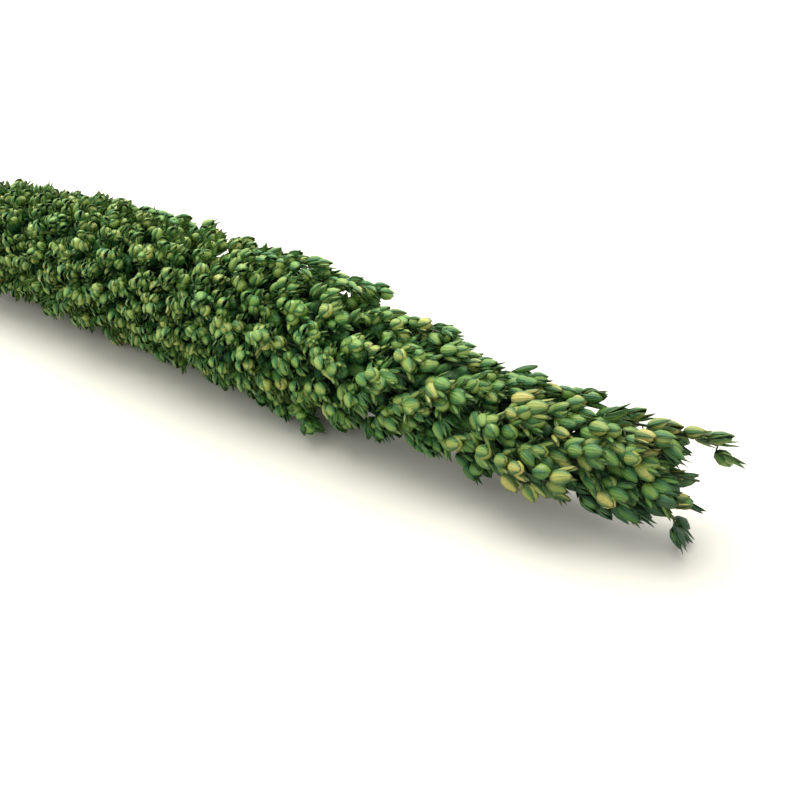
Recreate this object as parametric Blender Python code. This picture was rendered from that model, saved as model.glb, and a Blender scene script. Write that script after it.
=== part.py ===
"""Sorghum seed head, cut with a length of bare stalk and laid on its side.

Metres. +X runs along the head to its tip and +Z is up. The origin is on the surface that the
head lies on, under the middle of its length and width.
"""

import math
import random

import bmesh
import bpy
import numpy as np
from mathutils import Matrix, Vector

SEED = 7
GAP = 0.0003

# The main axis. Distances along it count from the head's foot, where the bare stalk ends.
HEAD_LENGTH = 0.300
STALK_LENGTH = 0.065
STALK_RADIUS = 0.0034
FOOT_RADIUS = 0.0027
AXIS_END = 0.286
AXIS_END_RADIUS = 0.0008
AXIS_HEIGHT = 0.0212
SWAY = 0.0030
SWAY_LENGTH = 0.345
DROOP = 0.008
DROOP_START = 0.110

# Distance from the head's foot, and the radius that the spikelets' tips reach there.
HEAD_PROFILE = (
    (0.000, 0.0130),
    (0.020, 0.0185),
    (0.050, 0.0228),
    (0.100, 0.0240),
    (0.150, 0.0232),
    (0.180, 0.0216),
    (0.215, 0.0180),
    (0.245, 0.0152),
    (0.272, 0.0128),
    (0.290, 0.0106),
    (0.300, 0.0085),
)
# Distance from the head's foot, and the angle in degrees between a spikelet and the main axis.
LEAN = ((0.00, 82), (0.04, 68), (0.12, 58), (0.18, 46), (0.23, 32), (0.27, 25), (0.30, 20))
ROUNDING = 0.005

# The primary branches stand in tiers, each tier turned half a step from the one below it.
# The last tier's branches are long and end as separate tails.
TIERS = 8
BRANCHES_PER_TIER = 7
FIRST_TIER = 0.0160
TIER_PITCH = 0.0325
LAST_TIER = 0.2590
LAST_PITCH = 0.0560
TIER_JITTER = 0.0015
TURN_JITTER = 0.04

# A branch is a thin bare stem and then a spindle, the core that its spikelets stand out of.
# How far the spindle runs back and ahead of its tier is a share of the tier's pitch.
STEM_RADIUS = 0.0009
STEM_RUN = 0.018
STEM_CURVE = 1.2
LOWEST_STEM = -0.006
LOWEST_CORE = 0.006
CORE_RADIUS = 0.0050
CORE_END_RADIUS = 0.0006
CORE_SHARE = 0.36
CORE_BACK = 0.54
CORE_AHEAD = 0.50
CORE_COVER = 0.0020
LAST_AHEAD = 0.66
TAIL_CUT = 0.014
TAIL_COVER = 0.009

# The spikelets stand larger than life, so that few of them cover the head.
SPIKELETS = 404
SPIKELET_LENGTH = 0.0090
SPIKELET_RADIUS = 0.0041
SPIKELET_SIDES = 4
FIRST_SPIKELET = 0.004
GOLDEN_ANGLE = math.pi * (3 - math.sqrt(5))
BELLY = 0.34
SHOULDER = 0.72
SHOULDER_SHARE = 0.88
FOOT_BACK = 0.004
PRESSED_FLAT = 0.0018


def clear_scene():
    for obj in list(bpy.data.objects):
        bpy.data.objects.remove(obj, do_unlink=True)


def make_collection(name):
    """A collection linked to the scene."""
    collection = bpy.data.collections.new(name)
    bpy.context.scene.collection.children.link(collection)
    return collection


def make_material(name, colour, roughness):
    material = bpy.data.materials.new(name)
    material.use_nodes = True
    shader = material.node_tree.nodes["Principled BSDF"]
    shader.inputs["Base Color"].default_value = (*colour, 1.0)
    shader.inputs["Roughness"].default_value = roughness
    shader.inputs["Metallic"].default_value = 0.0
    material.diffuse_color = (*colour, 1.0)
    return material


def along(table, s):
    """A value read from a table of distances and values, with its corners rounded off."""
    places, values = zip(*table)
    window = np.linspace(-ROUNDING, ROUNDING, 5)
    return float(np.mean(np.interp(s + window, places, values)))


def axis_point(s):
    """The main axis: a slight sway sideways, and a droop towards the tip."""
    sway = SWAY * math.sin(2 * math.pi * s / SWAY_LENGTH)
    beyond = max(0.0, s - DROOP_START) / (HEAD_LENGTH - DROOP_START)
    return Vector((s, sway, AXIS_HEIGHT - DROOP * beyond**2))


def axis_frame(s):
    tangent = (axis_point(s + 0.001) - axis_point(s - 0.001)).normalized()
    side = Vector((0, 0, 1)).cross(tangent).normalized()
    return tangent, side, tangent.cross(side)


def axis_radius(s):
    if s < 0:
        return FOOT_RADIUS + (STALK_RADIUS - FOOT_RADIUS) * -s / STALK_LENGTH
    return FOOT_RADIUS + (AXIS_END_RADIUS - FOOT_RADIUS) * s / AXIS_END


def outward(s, angle):
    """The direction straight out of the main axis at an angle round it."""
    side, up = axis_frame(s)[1:]
    return side * math.cos(angle) + up * math.sin(angle)


def reach(s, angle):
    """How far out the spikelets reach: the head's radius, or less where the floor presses them."""
    radius = along(HEAD_PROFILE, s)
    fall = -outward(s, angle).z
    if fall > 0.1:
        radius = min(radius, (axis_point(s).z + PRESSED_FLAT) / fall)
    return radius


def lean(s):
    return math.radians(along(LEAN, s))


class Branch:
    """One primary branch: a bare stem from the main axis, then a spindle under its spikelets."""

    def __init__(self, tier, place, rng):
        last = tier == TIERS - 1
        self.pitch = LAST_PITCH if last else TIER_PITCH
        self.turn = 2 * math.pi / BRANCHES_PER_TIER
        self.name = f"branch_{tier * BRANCHES_PER_TIER + place + 1:02d}"
        self.tier = tier
        middle = LAST_TIER if last else FIRST_TIER + tier * TIER_PITCH
        self.middle = middle + rng.uniform(-TIER_JITTER, TIER_JITTER)
        half_step = 0.5 * (tier % 2)
        self.angle = (place + half_step) * self.turn + rng.uniform(-TURN_JITTER, TURN_JITTER)
        self.start = max(self.middle - CORE_BACK * self.pitch, LOWEST_CORE)
        self.root = max(self.start - STEM_RUN, LOWEST_STEM)
        self.end = self.middle + CORE_AHEAD * self.pitch - rng.uniform(0, 0.002)
        if last:
            self.end = self.middle + LAST_AHEAD * self.pitch - rng.uniform(0, TAIL_CUT)
        self.spikelets = []

    def distance(self, s, angle):
        """How far a place is from the branch, counted in the pitch of the tiers and branches."""
        turn = (angle - self.angle + math.pi) % (2 * math.pi) - math.pi
        return abs(s - self.middle) / self.pitch + abs(turn) / self.turn

    def depth_radius(self, s):
        """Distance of the spindle's centre line from the main axis."""
        cover = SPIKELET_LENGTH * math.sin(lean(s)) + CORE_COVER
        inside = axis_radius(min(s, AXIS_END)) + GAP + 2 * STEM_RADIUS
        return max(reach(s, self.angle) - cover, inside)

    def thickness(self, s):
        """Radius of the stem and of the spindle, which is slim where the head is."""
        share = (s - self.start) / (self.end - self.start)
        if share <= 0:
            return STEM_RADIUS
        room = CORE_SHARE * self.turn * self.depth_radius(s)
        fullest = min(CORE_RADIUS, max(room, STEM_RADIUS))
        swell = math.sin(math.pi * min(0.1 + 0.9 * share, 1.0)) ** 0.7
        return CORE_END_RADIUS + (fullest - CORE_END_RADIUS) * swell

    def centre(self, s):
        """A point of the centre line at a distance s from the head's foot."""
        radius = self.depth_radius(max(s, self.start))
        if s < self.start:
            close = axis_radius(self.root) + GAP + STEM_RADIUS
            share = (s - self.root) / (self.start - self.root)
            radius = close + (radius - close) * share**STEM_CURVE
        return axis_point(s) + outward(s, self.angle) * radius

    def places(self):
        """Distances at which the centre line has a point."""
        stem = [self.root, self.root + 0.45 * (self.start - self.root), self.start]
        step = (self.end - self.start) / 3
        return stem + [self.start + step * i for i in range(1, 4)]


class Spikelet:
    """One plump, pointed spikelet on a short foot that roots in its branch."""

    def __init__(self, s, angle, branch, rng):
        tilt = lean(s) + rng.uniform(-0.10, 0.10)
        tangent = axis_frame(s)[0]
        radial = outward(s, angle)
        across = tangent.cross(radial)
        forward = tangent * math.cos(tilt) + radial * math.sin(tilt)
        self.direction = (forward + across * rng.uniform(-0.12, 0.12)).normalized()
        self.tip = axis_point(s) + radial * (reach(s, angle) - rng.uniform(0, 0.0012))
        self.base = self.tip - self.direction * SPIKELET_LENGTH
        self.radius = SPIKELET_RADIUS
        self.twist = rng.uniform(0, 2 * math.pi)
        self.branch = branch
        back = s - SPIKELET_LENGTH * math.cos(tilt) - FOOT_BACK
        latest = branch.end - 0.002 - rng.uniform(0, 0.003)
        hold = min(max(back, branch.start - 0.006), latest)
        nudge = Vector([rng.uniform(-0.0002, 0.0002) for _ in range(3)])
        self.foot = branch.centre(hold) + nudge

    def spine(self):
        """The two ends of the fat part's middle line."""
        whole = self.direction * SPIKELET_LENGTH
        return self.base + whole * 0.28, self.base + whole * 0.80


def points_between(ends):
    """Points along a spikelet's middle line, close enough together for a clearance."""
    shares = np.linspace(0, 1, 7)[:, None]
    return np.array(ends[0]) + shares * np.array(ends[1] - ends[0])


def least_distance(points, others):
    return np.linalg.norm(points[:, None] - others[None], axis=2).min(axis=0)


def place_spikelets(branches, rng):
    """Spikelets set evenly over the head's surface, each a golden angle from the last.

    Where they lie along the head they overlap like shingles, so fewer cover it.
    """
    steps = np.linspace(FIRST_SPIKELET, HEAD_LENGTH, 601)
    radii = np.array([along(HEAD_PROFILE, s) for s in steps])
    slope = np.gradient(radii, steps)
    overlap = np.array([0.25 + 0.75 * math.sin(lean(s)) for s in steps])
    area = np.cumsum(radii * np.sqrt(1 + slope**2) * overlap)
    wanted = (np.arange(SPIKELETS) + 0.5) / SPIKELETS * area[-1]
    spikelets = []
    for number, s in enumerate(np.interp(wanted, area, steps)):
        angle = number * GOLDEN_ANGLE + rng.uniform(-0.05, 0.05)
        s = float(s) + rng.uniform(-0.0006, 0.0006)
        branch = min(branches, key=lambda candidate: candidate.distance(s, angle))
        if s > branch.end + TAIL_COVER:
            continue
        spikelet = Spikelet(s, angle, branch, rng)
        branch.spikelets.append(spikelet)
        spikelets.append(spikelet)
    return spikelets


def fit_spikelets(spikelets, branches):
    """The spikelets swell only until they nearly meet each other or another branch's stem."""
    lines = {one: points_between(one.spine()) for one in spikelets}
    for branch in branches:
        places = np.linspace(branch.root, branch.end, 24)
        stem = np.array([branch.centre(s) for s in places])
        thick = np.array([branch.thickness(s) for s in places])
        for one in spikelets:
            if one.branch is not branch:
                room = (least_distance(lines[one], stem) - thick).min() - GAP
                one.radius = min(one.radius, room)
    for number, one in enumerate(spikelets):
        for two in spikelets[number + 1 :]:
            if (one.tip - two.tip).length > 2 * SPIKELET_LENGTH:
                continue
            room = least_distance(lines[one], lines[two]).min() - GAP
            if one.radius + two.radius > room:
                one.radius = min(one.radius, max(room / 2, room - two.radius))
                two.radius = min(two.radius, room - one.radius)


def spikelet_object(spikelet, number, collection):
    """A sphere with few sides, drawn out to a point at the tip and to a foot in the branch.

    The ring at the shoulder is turned half a side from the ring at the belly.
    """
    bm = bmesh.new()
    bmesh.ops.create_uvsphere(bm, u_segments=SPIKELET_SIDES, v_segments=3, radius=1.0)
    turn = spikelet.direction.to_track_quat("Z", "X").to_matrix()
    turn = turn @ Matrix.Rotation(spikelet.twist, 3, "Z")
    for vert in bm.verts:
        height = vert.co.z
        if height > 0.9:
            vert.co = spikelet.tip
            continue
        if height < -0.9:
            vert.co = spikelet.foot
            continue
        share = BELLY
        around = Vector((vert.co.x, vert.co.y, 0)).normalized() * spikelet.radius
        if height > 0:
            share = SHOULDER
            around.rotate(Matrix.Rotation(math.pi / SPIKELET_SIDES, 3, "Z"))
            around *= SHOULDER_SHARE
        vert.co = spikelet.base + spikelet.direction * SPIKELET_LENGTH * share + turn @ around
    bmesh.ops.triangulate(bm, faces=bm.faces)
    bmesh.ops.recalc_face_normals(bm, faces=bm.faces)
    mesh = bpy.data.meshes.new(f"spikelet_{number}")
    bm.to_mesh(mesh)
    bm.free()
    obj = bpy.data.objects.new(mesh.name, mesh)
    collection.objects.link(obj)
    return obj


def tube_object(name, points, radii, roundness, collection):
    """A tapering tube along the points, as a closed mesh with 4 + 2 * roundness sides."""
    curve = bpy.data.curves.new(name + "_path", "CURVE")
    curve.dimensions = "3D"
    curve.bevel_depth = 1.0
    curve.bevel_resolution = roundness
    curve.use_fill_caps = True
    spline = curve.splines.new("POLY")
    spline.points.add(len(points) - 1)
    for place, point, radius in zip(spline.points, points, radii):
        place.co = (*point, 1.0)
        place.radius = radius
    path = bpy.data.objects.new(name + "_path", curve)
    bpy.context.scene.collection.objects.link(path)
    graph = bpy.context.evaluated_depsgraph_get()
    mesh = bpy.data.meshes.new_from_object(path.evaluated_get(graph))
    mesh.name = name
    obj = bpy.data.objects.new(name, mesh)
    obj.matrix_world = path.matrix_world
    bpy.data.objects.remove(path)
    bm = bmesh.new()
    bm.from_mesh(mesh)
    bmesh.ops.remove_doubles(bm, verts=bm.verts, dist=0.00001)
    bmesh.ops.triangulate(bm, faces=bm.faces)
    bmesh.ops.recalc_face_normals(bm, faces=bm.faces)
    bm.to_mesh(mesh)
    bm.free()
    collection.objects.link(obj)
    return obj


def apply_boolean(obj, operation, **operand):
    """Joins or cuts an object and keeps the result as its mesh."""
    modifier = obj.modifiers.new(operation.title(), "BOOLEAN")
    modifier.operation = operation
    modifier.solver = "MANIFOLD"
    for setting, value in operand.items():
        setattr(modifier, setting, value)
    graph = bpy.context.evaluated_depsgraph_get()
    mesh = bpy.data.meshes.new_from_object(obj.evaluated_get(graph))
    obj.modifiers.clear()
    old = obj.data
    obj.data = mesh
    bpy.data.meshes.remove(old)
    mesh.name = obj.name


def branch_object(branch, collection, floor):
    """The branch and its spikelets fused into one body, flat where the floor presses it."""
    places = branch.places()
    points = [branch.centre(s) for s in places]
    radii = [branch.thickness(s) for s in places]
    obj = tube_object(branch.name, points, radii, 0, collection)
    repeats = make_collection(branch.name + "_spikelets")
    pieces = [
        spikelet_object(spikelet, number, repeats)
        for number, spikelet in enumerate(branch.spikelets)
    ]
    apply_boolean(obj, "UNION", operand_type="COLLECTION", collection=repeats)
    for piece in pieces:
        bpy.data.objects.remove(piece)
    bpy.data.collections.remove(repeats)
    if min(vert.co.z for vert in obj.data.vertices) < 0:
        apply_boolean(obj, "DIFFERENCE", object=floor)
    return obj


def floor_object(collection):
    """The room taken by the surface that the head lies on."""
    bpy.ops.mesh.primitive_cube_add(size=1)
    floor = bpy.context.object
    floor.name = "floor_trim"
    floor.scale = (1.0, 0.4, 0.1)
    floor.location = (HEAD_LENGTH / 2, 0, -0.05)
    for other in floor.users_collection:
        other.objects.unlink(floor)
    collection.objects.link(floor)
    floor.hide_render = True
    floor.display_type = "WIRE"
    return floor


def stalk_object(collection):
    """The bare stalk and the main axis that it runs on into, tapering to the last branches."""
    places = [-STALK_LENGTH, -STALK_LENGTH / 2]
    places += [AXIS_END * i / 12 for i in range(13)]
    points = [axis_point(s) for s in places]
    radii = [axis_radius(s) for s in places]
    return tube_object("stalk", points, radii, 4, collection)


def tier_colour(tier):
    """Deep green at the foot, paler and yellower towards the tip."""
    share = tier / (TIERS - 1)
    deep = Vector((0.045, 0.120, 0.025))
    pale = Vector((0.150, 0.210, 0.050))
    return tuple(deep.lerp(pale, share))


def centre_on_origin(collection):
    """Moves every piece so that the origin is under the middle of the whole head."""
    corners = []
    for obj in collection.objects:
        corners += [obj.matrix_world @ Vector(corner) for corner in obj.bound_box]
    low = Vector([min(corner[i] for corner in corners) for i in range(3)])
    high = Vector([max(corner[i] for corner in corners) for i in range(3)])
    shift = Vector((-(low.x + high.x) / 2, -(low.y + high.y) / 2, -low.z))
    for obj in collection.objects:
        obj.location += shift


clear_scene()
random_draws = random.Random(SEED)
head = make_collection("sorghum_seed_head")
cutters = make_collection("cutters")
floor_piece = floor_object(cutters)
stalk = stalk_object(head)
stalk.data.materials.append(make_material("stalk_green", (0.26, 0.30, 0.10), 0.6))
all_branches = [
    Branch(tier, place, random_draws) for tier in range(TIERS) for place in range(BRANCHES_PER_TIER)
]
all_spikelets = place_spikelets(all_branches, random_draws)
fit_spikelets(all_spikelets, all_branches)
tier_materials = [
    make_material(f"tier_{tier + 1}_green", tier_colour(tier), 0.65) for tier in range(TIERS)
]
for each in all_branches:
    piece = branch_object(each, head, floor_piece)
    piece.data.materials.clear()
    piece.data.materials.append(tier_materials[each.tier])
bpy.context.view_layer.update()
centre_on_origin(head)
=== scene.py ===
import math
import random

import bpy
import numpy as np
from mathutils import Matrix, Vector


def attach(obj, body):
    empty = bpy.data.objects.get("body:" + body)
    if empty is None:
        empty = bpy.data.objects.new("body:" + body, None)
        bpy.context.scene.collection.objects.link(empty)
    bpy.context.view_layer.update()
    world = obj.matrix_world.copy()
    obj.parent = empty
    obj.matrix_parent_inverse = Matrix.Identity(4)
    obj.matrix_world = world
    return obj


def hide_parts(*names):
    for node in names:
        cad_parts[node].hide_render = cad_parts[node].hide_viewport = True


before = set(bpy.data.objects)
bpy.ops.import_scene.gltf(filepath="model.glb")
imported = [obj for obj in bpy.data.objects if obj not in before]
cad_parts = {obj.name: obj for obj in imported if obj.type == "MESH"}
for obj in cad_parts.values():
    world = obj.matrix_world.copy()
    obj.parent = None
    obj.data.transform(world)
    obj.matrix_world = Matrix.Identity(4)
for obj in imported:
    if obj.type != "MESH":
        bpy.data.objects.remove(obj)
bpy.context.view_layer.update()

# The stalk: the plant's own round stem, dried and dyed, faintly ribbed and cut off straight, with
# pale pith at the cut. It runs on through the head as the tapering main axis, which every branch
# grows from. Distances along it count from the head's foot. All lengths are in metres.
STALK_LENGTH = 0.065
STALK_RADIUS = 0.0034
FOOT_RADIUS = 0.0027
HEAD_LENGTH = 0.300
AXIS_END = 0.286
AXIS_END_RADIUS = 0.0008
AXIS_HEIGHT = 0.0212
SWAY = 0.0030
SWAY_LENGTH = 0.345
DROOP = 0.008
DROOP_START = 0.110
AXIS_PROBE = 0.001
STALK_SIDES = 36
STALK_RIBS = 9
RIB_HEIGHT = 0.035
STALK_STEP = 0.006
STALK_SEED = 11
CUT_ROUGHNESS = 0.00022
PITH_SHARE = 0.80
RIND_SHARE = 0.95
PITH_DEPTH = 0.0005
# For each ring of the cut face: its share of the radius, and how deep it lies in the pith's depth.
CUT_RINGS = ((0.90, 0.0), (PITH_SHARE, 0.6), (0.45, 1.0), (0.15, 0.8))
CUT_MIDDLE = 0.7
EVEN_TONE = 0.5
FIBRES = 900
FIBRE_PULL = 0.06
FIBRE_DEPTH = 0.00025
BLOTCHES = 140
PORES = 2600
PORE_DEPTH = 0.00030
STALK_GREEN = (0.088, 0.132, 0.034)
STALK_SHADE = (0.030, 0.062, 0.018)
STALK_STRAW = (0.250, 0.250, 0.090)
# Painted shade, for the stems where they lie inside the head.
STALK_PAINTED_SHADE = (0.012, 0.030, 0.010)
PITH_PALE = (0.520, 0.480, 0.270)
PITH_DARK = (0.230, 0.230, 0.090)


def bare_axis_point(s):
    """A point of the main axis, before it is moved to where the head lies."""
    sway = SWAY * math.sin(2 * math.pi * s / SWAY_LENGTH)
    beyond = max(0.0, s - DROOP_START) / (HEAD_LENGTH - DROOP_START)
    return Vector((s, sway, AXIS_HEIGHT - DROOP * beyond**2))


def cut_end():
    """The middle of the cut face of the frame's stalk, which settles where the head lies."""
    places = np.array([vert.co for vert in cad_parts["stalk"].data.vertices])
    ring = places[places[:, 0] < places[:, 0].min() + STALK_RADIUS / 4]
    return Vector(ring.mean(axis=0))


axis_shift = cut_end() - bare_axis_point(-STALK_LENGTH)


def axis_point(s):
    """The main axis: a slight sway sideways, and a droop towards the tip."""
    return bare_axis_point(s) + axis_shift


def axis_frame(s):
    """The main axis's own directions: along it, sideways and up."""
    tangent = (axis_point(s + AXIS_PROBE) - axis_point(s - AXIS_PROBE)).normalized()
    side = Vector((0, 0, 1)).cross(tangent).normalized()
    return tangent, side, tangent.cross(side)


def axis_radius(s):
    """How thick the stalk is, and the main axis after it."""
    if s < 0:
        return FOOT_RADIUS + (STALK_RADIUS - FOOT_RADIUS) * -s / STALK_LENGTH
    return FOOT_RADIUS + (AXIS_END_RADIUS - FOOT_RADIUS) * s / AXIS_END


class Growth:
    """A piece's mesh as it grows out of shapes.

    A shape is its points, its faces and each point's place on it: the share across it, the
    share along it from foot to tip, and its tone.
    """

    def __init__(self, name, finishes):
        self.name = name
        self.finishes = finishes
        self.points, self.corners, self.sizes, self.places, self.kinds = [], [], [], [], []
        self.count = 0

    def add(self, shape, finish, tone=None, turn=None, foot=(0, 0, 0)):
        """Adds a shape with one of the finishes, turned and moved to its foot."""
        points, faces, places = shape
        if turn is not None:
            points = points @ turn.T
        self.points.append(points + np.array(foot))
        places = np.array(places, float)
        if tone is not None:
            places[:, 2] = tone
        self.places.append(places)
        self.corners += [corner + self.count for face in faces for corner in face]
        self.sizes += [len(face) for face in faces]
        self.kinds += [self.finishes.index(finish)] * len(faces)
        self.count += len(points)

    def make(self):
        """The finished object, linked to the scene."""
        mesh = bpy.data.meshes.new(self.name)
        mesh.vertices.add(self.count)
        mesh.vertices.foreach_set("co", np.concatenate(self.points).ravel())
        mesh.loops.add(len(self.corners))
        mesh.loops.foreach_set("vertex_index", self.corners)
        mesh.polygons.add(len(self.sizes))
        starts = np.concatenate([[0], np.cumsum(self.sizes)[:-1]])
        mesh.polygons.foreach_set("loop_start", starts.astype(int))
        mesh.polygons.foreach_set("material_index", self.kinds)
        mesh.polygons.foreach_set("use_smooth", [True] * len(self.sizes))
        mesh.update(calc_edges=True)
        place = mesh.attributes.new("place", "FLOAT_VECTOR", "POINT")
        place.data.foreach_set("vector", np.concatenate(self.places).ravel())
        for finish in self.finishes:
            mesh.materials.append(finish.material)
        obj = bpy.data.objects.new(self.name, mesh)
        bpy.context.scene.collection.objects.link(obj)
        return obj


class Socket:
    """An output of a finish's node, so that a finish is written as plain sums."""

    def __init__(self, finish, output):
        self.finish = finish
        self.output = output

    def sum(self, operation, *values):
        return self.finish.node("ShaderNodeMath", {"operation": operation}, dict(enumerate(values)))

    def __add__(self, other):
        return self.sum("ADD", self, other)

    def __sub__(self, other):
        return self.sum("SUBTRACT", self, other)

    def __rsub__(self, other):
        return self.sum("SUBTRACT", other, self)

    def __mul__(self, other):
        return self.sum("MULTIPLY", self, other)

    __radd__ = __add__
    __rmul__ = __mul__


class Finish:
    """A material on a Principled shader, with the nodes that its sums add."""

    def __init__(self, name, **constants):
        self.material = bpy.data.materials.new(name)
        self.material.use_nodes = True
        self.tree = self.material.node_tree
        self.shader = self.tree.nodes["Principled BSDF"]
        for socket, value in constants.items():
            self.shader.inputs[socket].default_value = value

    def node(self, kind, settings=None, sockets=None, out=0):
        """Adds a node, with its settings first and then its sockets' values or links."""
        node = self.tree.nodes.new(kind)
        for setting, value in (settings or {}).items():
            if setting == "stops":
                self.set_stops(node.color_ramp, value)
            else:
                setattr(node, setting, value)
        for name, value in (sockets or {}).items():
            self.feed(node.inputs[name], value)
        return Socket(self, node.outputs[out])

    def feed(self, socket, value):
        if isinstance(value, Socket):
            self.tree.links.new(value.output, socket)
        elif socket.type == "RGBA":
            socket.default_value = (*value, 1.0)
        else:
            socket.default_value = value

    def set_stops(self, ramp, stops):
        ramp.elements.remove(ramp.elements[1])
        for number, (place, colour) in enumerate(stops):
            element = ramp.elements[0] if number == 0 else ramp.elements.new(place)
            element.position = place
            element.color = (*colour, 1.0)

    def place(self, name):
        """A share of the place on a shape: X across it, Y along it, or Z its tone."""
        vector = self.node("ShaderNodeAttribute", {"attribute_name": "place"}, out="Vector")
        return self.node("ShaderNodeSeparateXYZ", {}, {0: vector}, out=name)

    def spots(self, scale, detail=2.0, stretch=(1, 1, 1)):
        """Noise in the object's own space, at a number of spots to the metre."""
        inside = self.node("ShaderNodeTexCoord", out="Object")
        pulled = self.node("ShaderNodeMapping", {}, {"Vector": inside, "Scale": stretch})
        sockets = {"Vector": pulled, "Scale": scale, "Detail": detail}
        return self.node("ShaderNodeTexNoise", {}, sockets, out="Fac")

    def one_of(self, operation, value):
        """A function of one value, such as its cosine."""
        return self.node("ShaderNodeMath", {"operation": operation}, {0: value})

    def ramp(self, value, stops):
        return self.node("ShaderNodeValToRGB", {"stops": stops}, {"Fac": value}, out="Color")

    def span(self, value, low, high, start=0.0, end=1.0):
        """The value from low to high, drawn smoothly over start to end and kept inside it."""
        sockets = {"Value": value, "From Min": low, "From Max": high, "To Min": start, "To Max": end}
        return self.node("ShaderNodeMapRange", {"interpolation_type": "SMOOTHSTEP"}, sockets)

    def blend(self, share, one, two, way="MIX"):
        settings = {"data_type": "RGBA", "blend_type": way}
        return self.node("ShaderNodeMix", settings, {0: share, 6: one, 7: two}, out=2)

    def colour(self, value):
        self.feed(self.shader.inputs["Base Color"], value)

    def roughness(self, value):
        self.feed(self.shader.inputs["Roughness"], value)

    def relief(self, height, depth, strength=1.0):
        """Bump of that height share, over a depth in metres."""
        sockets = {"Strength": strength, "Distance": depth, "Height": height}
        self.feed(self.shader.inputs["Normal"], self.node("ShaderNodeBump", {}, sockets))


def ring_faces(rings, sides):
    """The faces between each ring of corners and the next one."""
    faces = []
    for ring in range(rings - 1):
        for corner in range(sides):
            after = (corner + 1) % sides
            low, high = ring * sides, (ring + 1) * sides
            faces.append((low + corner, low + after, high + after, high + corner))
    return faces


def tube(points, radii, sides):
    """A closed tapering tube along the points, as a shape."""
    points = [Vector(point) for point in points]
    side = None
    rings, places = [], []
    for number, (point, radius) in enumerate(zip(points, radii)):
        ahead = points[min(number + 1, len(points) - 1)] - points[max(number - 1, 0)]
        ahead.normalize()
        if side is None:
            side = ahead.orthogonal()
        side = (side - ahead * side.dot(ahead)).normalized()
        over = ahead.cross(side)
        for corner in range(sides):
            turn = 2 * math.pi * corner / sides
            rings.append(point + (side * math.cos(turn) + over * math.sin(turn)) * radius)
            places.append((corner / sides, number / (len(points) - 1), EVEN_TONE))
    faces = ring_faces(len(points), sides)
    last = (len(points) - 1) * sides
    faces.append(tuple(range(sides))[::-1])
    faces.append(tuple(range(last, last + sides)))
    return np.array([tuple(ring) for ring in rings]), faces, np.array(places)


def ribbed_stalk():
    """The stalk's skin as a ribbed tube, closed at its thin end, and open at the cut."""
    rng = random.Random(STALK_SEED)
    places = np.linspace(-STALK_LENGTH, AXIS_END, round((STALK_LENGTH + AXIS_END) / STALK_STEP))
    points, shares = [], []
    for number, s in enumerate(places):
        tangent, side, up = axis_frame(s)
        for corner in range(STALK_SIDES):
            turn = 2 * math.pi * corner / STALK_SIDES
            radius = axis_radius(s) * (1 + RIB_HEIGHT * (math.cos(STALK_RIBS * turn) - 1) / 2)
            point = axis_point(s) + (side * math.cos(turn) + up * math.sin(turn)) * radius
            if number == 0:
                point += tangent * rng.uniform(0, CUT_ROUGHNESS)
            points.append(tuple(point))
            shares.append((corner / STALK_SIDES, number / (len(places) - 1), EVEN_TONE))
    faces = ring_faces(len(places), STALK_SIDES)
    last = (len(places) - 1) * STALK_SIDES
    faces.append(tuple(range(last, last + STALK_SIDES)))
    return np.array(points), faces, np.array(shares)


def cut_face(rim):
    """The cut face, from the skin's own rim: a ring of rind round the sunken pith."""
    inwards = np.array(axis_frame(-STALK_LENGTH)[0]) * PITH_DEPTH
    middle = rim.mean(axis=0)
    rings = [rim]
    for share, depth in CUT_RINGS:
        rings.append(middle + (rim - middle) * share + inwards * depth)
    points = np.concatenate(rings + [[middle + inwards * CUT_MIDDLE]])
    shares = np.zeros((len(points), 3))
    shares[:, 1] = np.linalg.norm(points - middle, axis=1) / STALK_RADIUS
    faces = [face[::-1] for face in ring_faces(len(rings), STALK_SIDES)]
    last = (len(rings) - 1) * STALK_SIDES
    for corner in range(STALK_SIDES):
        faces.append((last + (corner + 1) % STALK_SIDES, last + corner, len(points) - 1))
    return points, faces, shares


def stem_finish(name, painted_shade_start, painted_shade_end):
    """Dry dyed stem: fibres along it, blotches of deeper dye, and straw where the dye is thin.

    Further along it, where it lies inside the head under the spikelets, it is darkened with painted
    shade.
    """
    finish = Finish(name, IOR=1.42)
    fibres = finish.spots(FIBRES, 3.0, stretch=(FIBRE_PULL, 1, 1))
    blotches = finish.spots(BLOTCHES, 3.0)
    colour = finish.blend(finish.span(blotches, 0.38, 0.68), STALK_GREEN, STALK_SHADE)
    colour = finish.blend(finish.span(fibres, 0.55, 0.75, 0.0, 0.65), colour, STALK_STRAW)
    # Painted shade: the stem darkens further along it, inside the head.
    deep = finish.span(finish.place("Y"), painted_shade_start, painted_shade_end, 0.0, 0.85)
    colour = finish.blend(deep, colour, STALK_PAINTED_SHADE)
    finish.colour(colour)
    finish.roughness(0.48 + 0.30 * fibres)
    finish.relief(fibres, FIBRE_DEPTH, 0.8)
    return finish


stalk_skin = stem_finish("stalk_skin", 0.17, 0.30)

pith = Finish("pith", IOR=1.4)
pores = pith.spots(PORES)
ring_of_rind = pith.span(pith.place("Y"), PITH_SHARE, RIND_SHARE)
pith_colour = pith.blend(pith.span(pores, 0.40, 0.62), PITH_PALE, PITH_DARK)
pith.colour(pith.blend(ring_of_rind, pith_colour, STALK_GREEN))
pith.roughness(0.75 + 0.2 * pores)
pith.relief(pores, PORE_DEPTH)

skin = ribbed_stalk()
stalk_growth = Growth("stalk_with_axis", [stalk_skin, pith])
stalk_growth.add(skin, stalk_skin)
stalk_growth.add(cut_face(skin[0][:STALK_SIDES]), pith)
stalk = stalk_growth.make()
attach(stalk, "root")
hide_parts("stalk")

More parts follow.
